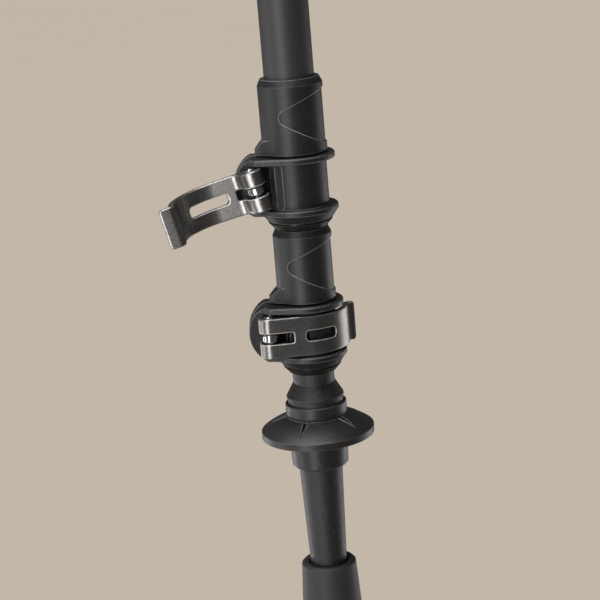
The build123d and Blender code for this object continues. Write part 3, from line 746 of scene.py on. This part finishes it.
class POLE_OT_grip(bpy.types.Operator):
    """Build the foam grip with its finger hollows and grooves, and finish the head and ring"""

    bl_idname = "pole.grip"
    bl_label = "Grip"

    def execute(self, context):
        sizes = context.scene.pole_sizes
        dress(soft_touch_plastic, "grip_head", "grip_ring")
        low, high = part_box("grip_foam")
        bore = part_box("upper_tube")[1].x + TUBE_GAP
        length = high.z - low.z
        vertices = []
        for ring in range(FOAM_RINGS + 1):
            share = ring / FOAM_RINGS
            height = low.z + share * length
            half_x, half_y, shift = section_at(share)
            end = min(share, 1 - share) * length
            tuck = FOAM_EDGE - math.sqrt(max(0.0, FOAM_EDGE**2 - max(0.0, FOAM_EDGE - end) ** 2))
            hollow = sizes.finger_depth * 0.5 * (1 - math.cos(2 * math.pi * FINGERS * share))
            phase = (share * length / sizes.groove_pitch) % 1.0
            groove = sizes.groove_depth * math.exp(-(((phase - 0.5) / GROOVE_SHARE) ** 2))
            if not GROOVED[0] < share < GROOVED[1]:
                groove = 0.0
            for spoke in range(FOAM_SPOKES):
                angle = 2 * math.pi * spoke / FOAM_SPOKES
                front = max(0.0, -math.cos(angle)) ** 1.5
                back = min(1.0, max(0.0, math.cos(angle) - 0.25) * 3)
                inset = tuck + hollow * front + groove * back
                vertices.append(
                    (
                        shift + (half_x - inset) * math.cos(angle),
                        (half_y - inset) * math.sin(angle),
                        height,
                    )
                )
        count = FOAM_SPOKES
        faces = []
        for ring in range(FOAM_RINGS):
            for spoke in range(count):
                following = (spoke + 1) % count
                faces.append(
                    (
                        ring * count + spoke,
                        ring * count + following,
                        (ring + 1) * count + following,
                        (ring + 1) * count + spoke,
                    )
                )
        inner = len(vertices)
        for height in (low.z, high.z):
            for spoke in range(count):
                angle = 2 * math.pi * spoke / count
                vertices.append((bore * math.cos(angle), bore * math.sin(angle), height))
        top = FOAM_RINGS * count
        for spoke in range(count):
            following = (spoke + 1) % count
            faces.append((spoke, following, inner + following, inner + spoke))
            faces.append(
                (top + spoke, top + following, inner + count + following, inner + count + spoke)
            )
            faces.append(
                (inner + spoke, inner + following, inner + count + following, inner + count + spoke)
            )
        material = eva_foam(context.scene.pole_colours, sizes)
        grip = add_mesh("foam_grip", vertices, faces, material, "upper_section")
        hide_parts("grip_foam")
        return {"FINISHED"}


# --- Wrist strap -----------------------------------------------------------------------------
# Corners of the loop's outline behind the pin, with the radius of each, in millimetres.
STRAP_CORNERS = (
    (-3.5, 3.5, 3.2),
    (17.0, 2.0, 12.0),
    (45.0, -62.0, 60.0),
    (45.0, -150.0, 60.0),
    (33.0, -190.0, 9.0),
    (23.0, -150.0, 60.0),
    (15.0, -15.5, 20.0),
    (5.0, -3.5, 5.0),
    (-3.5, -3.5, 3.2),
)
STRAP_STEP = 1.2 * MM
STRAP_MIDDLE = 0.85  # mm that the webbing's middle stands inside its outline
STRAP_ACROSS = 14  # strips across the webbing's width
SELVEDGE = 0.16  # share of the half width that thickens and rounds off
SEAMED = (0.3, 0.66)  # shares of the loop's length between which it is stitched
STITCH_ROWS = (-0.36, 0.36)  # shares of the width
STITCH_SIZE = (0.3 * MM, 0.22 * MM)  # half width and half height of a stitch
STITCH_SINK = 0.05 * MM


def rounded_loop(corners, step):
    """Points and outward normals along a closed outline whose corners are rounded."""
    line = []
    count = len(corners)
    points = [Vector(corner[:2]) for corner in corners]
    for index, (x, y, radius) in enumerate(corners):
        here = points[index]
        before = (points[index - 1] - here).normalized()
        after = (points[(index + 1) % count] - here).normalized()
        half = before.angle(after) / 2
        back = radius / math.tan(half)
        centre = here + (before + after).normalized() * (radius / math.sin(half))
        start, end = here + before * back, here + after * back
        first = math.atan2(*(start - centre).yx)
        turn = math.atan2(*(end - centre).yx) - first
        turn = (turn + math.pi) % (2 * math.pi) - math.pi
        pieces = max(4, int(abs(turn) * radius / step))
        for i in range(pieces + 1):
            angle = first + turn * i / pieces
            line.append(centre + radius * Vector((math.cos(angle), math.sin(angle))))
    evened = []
    for a, b in zip(line, line[1:] + line[:1]):
        gap = (b - a).length
        if gap < step * 0.05:
            continue
        parts = max(1, round(gap / step))
        evened += [a.lerp(b, i / parts) for i in range(parts)]
    normals = []
    for index, point in enumerate(evened):
        along = evened[(index + 1) % len(evened)] - evened[index - 1]
        normals.append(Vector((-along.y, along.x)).normalized())
    middle = sum(evened, Vector((0, 0))) / len(evened)
    if normals[0].dot(evened[0] - middle) < 0:
        normals = [-normal for normal in normals]
    return evened, normals


def webbing_strip(name, line, normals, width, thickness, material):
    """A closed strip of webbing inside an outline in the XZ plane, with thicker selvedges."""
    profile = []
    for side in (1, -1):
        for i in range(STRAP_ACROSS + 1):
            v = side * (1 - 2 * i / STRAP_ACROSS)
            edge = max(0.0, abs(v) - 1 + SELVEDGE) / SELVEDGE
            swell = 0.5 + 0.12 * math.sin(math.pi * min(1.0, edge * 1.2))
            height = swell * math.sqrt(max(0.0, 1 - edge**2.5))
            profile.append((v * width / 2, side * height * thickness))
    size = len(profile)
    vertices, uv, faces = [], [], []
    travelled = 0.0
    count = len(line)
    for index in range(count + 1):
        point, normal = line[index % count], normals[index % count]
        if index:
            travelled += (line[index % count] - line[index - 1]).length
        for across, height in profile:
            spot = point + normal * (height - STRAP_MIDDLE * MM)
            vertices.append((spot.x, across, spot.y))
            uv.append((travelled, across))
    for ring in range(count):
        low, high = ring * size, (ring + 1) * size
        for i in range(size):
            j = (i + 1) % size
            faces.append((low + i, low + j, high + j, high + i))
    return add_mesh(name, vertices, faces, material, "strap", uv)


class POLE_OT_strap(bpy.types.Operator):
    """Build the webbing wrist strap and its rows of stitches"""

    bl_idname = "pole.strap"
    bl_label = "Wrist strap"

    def execute(self, context):
        scene = context.scene
        sizes, looks = scene.pole_sizes, scene.pole_colours
        low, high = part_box("strap_pin")
        pin = Vector(((low.x + high.x) / 2, (low.z + high.z) / 2))
        corners = [(pin.x + x * MM, pin.y + z * MM, r * MM) for x, z, r in STRAP_CORNERS]
        line, normals = rounded_loop(corners, STRAP_STEP)
        loop = webbing_strip(
            "strap_webbing",
            line,
            normals,
            sizes.webbing_width,
            sizes.webbing_thickness,
            woven_webbing(looks, sizes),
        )
        middle = [point - normal * STRAP_MIDDLE * MM for point, normal in zip(line, normals)]
        length = sum((b - a).length for a, b in zip(middle, middle[1:] + middle[:1]))
        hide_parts("wrist_strap")
        stitches = self.stitch(line, normals, sizes, bonded_thread(looks, sizes), length)
        return {"FINISHED"}

    def stitch(self, line, normals, sizes, material, length):
        """Two rows of stitches down each edge of the loop's lower half."""
        shell = bmesh.new()
        pitch = sizes.stitch_length
        for row in STITCH_ROWS:
            travelled, following = 0.0, pitch
            for index in range(1, len(line)):
                travelled += (line[index] - line[index - 1]).length
                if travelled < following:
                    continue
                following += pitch
                if not SEAMED[0] < travelled / length < SEAMED[1]:
                    continue
                along = (line[index] - line[index - 1]).normalized()
                for side in (-STITCH_SINK, STITCH_SINK - STRAP_MIDDLE * MM * 2):
                    spot = line[index] + normals[index] * side
                    turn = Matrix(
                        (
                            (along.x, 0, normals[index].x, spot.x),
                            (0, 1, 0, row * sizes.webbing_width),
                            (along.y, 0, normals[index].y, spot.y),
                            (0, 0, 0, 1),
                        )
                    )
                    bmesh.ops.create_uvsphere(
                        shell,
                        u_segments=8,
                        v_segments=6,
                        radius=1.0,
                        matrix=turn @ Matrix.Diagonal((pitch * 0.38, *STITCH_SIZE, 1)),
                    )
        mesh = bpy.data.meshes.new("strap_stitches")
        shell.to_mesh(mesh)
        shell.free()
        for polygon in mesh.polygons:
            polygon.use_smooth = True
        mesh.materials.append(material)
        stitches = bpy.data.objects.new("strap_stitches", mesh)
        bpy.context.scene.collection.objects.link(stitches)
        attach(stitches, "strap")
        return stitches


# --- Studio ----------------------------------------------------------------------------------
CAMERA_PLACE = Vector((-2.7, -631.7, 312.1)) * MM
CAMERA_PITCH = math.radians(14.6)
CAMERA_ROLL = math.radians(4.8)
LENS = 106.8
FLOOR_SIZE = 12.0
AIM = Vector((0.0, 0.0, 0.17))  # between the two locks
SUN_STRENGTH = 2.84
AIR_STRENGTH = 0.08
LAMP_WHITE = linear("fdfcff")[:3]


def lit_by(light, pieces, name):
    """Limits a lamp to some pieces, so that the floor stays even."""
    group = bpy.data.collections.new(name)
    for piece in pieces:
        group.objects.link(piece)
    light.light_linking.receiver_collection = group


def softbox(name, place, size, watts):
    """A rectangular soft light aimed at the locks, which the camera doesn't see."""
    lamp = bpy.data.lights.new(name, "AREA")
    lamp.shape = "RECTANGLE"
    lamp.size, lamp.size_y = size
    lamp.energy = watts
    lamp.color = LAMP_WHITE
    stand = bpy.data.objects.new(name, lamp)
    bpy.context.scene.collection.objects.link(stand)
    stand.location = place
    stand.rotation_euler = (AIM - Vector(place)).to_track_quat("-Z", "Y").to_euler()
    stand.visible_camera = False
    return stand


class POLE_OT_stage(bpy.types.Operator):
    """Set up the pale floor, the soft lights and the camera"""

    bl_idname = "pole.stage"
    bl_label = "Studio"

    def execute(self, context):
        scene = context.scene
        pole_pieces = list(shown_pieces())
        half = FLOOR_SIZE / 2
        mesh = bpy.data.meshes.new("floor")
        mesh.from_pydata(
            [(-half, -half, 0), (half, -half, 0), (half, half, 0), (-half, half, 0)],
            [],
            [(0, 1, 2, 3)],
        )
        mesh.materials.append(paper_floor(scene.pole_colours, scene.pole_sizes))
        floor = bpy.data.objects.new("floor", mesh)
        scene.collection.objects.link(floor)
        floor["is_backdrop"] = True
        # Gloss shows the lamps against dark air, and lamps may stand below the paper's level.
        floor.visible_glossy = False
        floor.visible_shadow = False

        sun = bpy.data.lights.new("floor_light", "SUN")
        sun.energy = SUN_STRENGTH
        sun.angle = math.radians(30)
        sun_stand = bpy.data.objects.new("floor_light", sun)
        sun_stand.rotation_euler = (math.radians(-12), math.radians(20), 0)
        scene.collection.objects.link(sun_stand)
        lit_by(sun_stand, [floor], "lit_by_floor_light")

        boxes = [
            softbox("key_softbox", (-0.50, -0.95, 0.20), (0.20, 1.6), 9.0),
            softbox("left_panel", (-1.15, -0.10, -0.15), (0.6, 1.0), 3.8),
            softbox("left_rim", (-0.85, 0.75, -0.40), (0.5, 0.6), 3.0),
            softbox("right_panel", (0.90, 0.62, -0.35), (0.7, 0.8), 3.8),
            softbox("top_softbox", (-0.2, -0.1, 1.25), (0.9, 0.7), 13.0),
        ]
        for box in boxes:
            lit_by(box, pole_pieces, f"lit_by_{box.name}")
        # One narrow lamp picks the open lever out from the dark clamp behind it.
        glint = softbox("lever_softbox", (-0.17, -1.0, -0.05), (0.10, 0.7), 3.2)
        lit_by(glint, [NODES[f"upper_{part}"] for part in ("lever", "eye_bolt")], "lit_by_glint")

        world = bpy.data.worlds.new("studio_air")
        scene.world = world
        world.use_nodes = True
        background = world.node_tree.nodes["Background"]
        background.inputs["Color"].default_value = linear("ffffff")
        background.inputs["Strength"].default_value = AIR_STRENGTH
        scene.view_settings.view_transform = "Standard"

        lens = bpy.data.cameras.new("camera")
        lens.lens = LENS
        lens.clip_start, lens.clip_end = 0.01, 50.0
        camera = bpy.data.objects.new("camera", lens)
        scene.collection.objects.link(camera)
        ahead = Vector((0, math.cos(CAMERA_PITCH), -math.sin(CAMERA_PITCH)))
        right = Vector((1, 0, 0))
        up = right.cross(ahead)
        cosine, sine = math.cos(CAMERA_ROLL), math.sin(CAMERA_ROLL)
        tilted_right = right * cosine - up * sine
        tilted_up = right * sine + up * cosine
        turn = Matrix((tilted_right, tilted_up, -ahead)).transposed()
        camera.matrix_world = Matrix.Translation(CAMERA_PLACE) @ turn.to_4x4()
        scene.camera = camera
        return {"FINISHED"}


class POLE_PT_parts(bpy.types.Panel):
    """Lists the pole's colours, sizes and build steps"""

    bl_idname = "POLE_PT_parts"
    bl_label = "Trekking Pole"
    bl_space_type = "VIEW_3D"
    bl_region_type = "UI"
    bl_category = "Pole"

    def draw(self, context):
        for group in (context.scene.pole_colours, context.scene.pole_sizes):
            for name in group.__annotations__:
                self.layout.prop(group, name)
        for step in STEPS:
            self.layout.operator(step.bl_idname)


STEPS = (
    POLE_OT_tubes,
    POLE_OT_clamps,
    POLE_OT_levers,
    POLE_OT_tip,
    POLE_OT_grip,
    POLE_OT_strap,
    POLE_OT_stage,
)
CLASSES = (PoleColours, PoleSizes, *STEPS, POLE_PT_parts)


def register():
    for cls in CLASSES:
        bpy.utils.register_class(cls)
    bpy.types.Scene.pole_colours = bpy.props.PointerProperty(type=PoleColours)
    bpy.types.Scene.pole_sizes = bpy.props.PointerProperty(type=PoleSizes)


def unregister():
    del bpy.types.Scene.pole_sizes
    del bpy.types.Scene.pole_colours
    for cls in reversed(CLASSES):
        bpy.utils.unregister_class(cls)


def main():
    register()
    for step in STEPS:
        group, name = step.bl_idname.split(".")
        getattr(getattr(bpy.ops, group), name)()


if __name__ == "__main__":
    main()
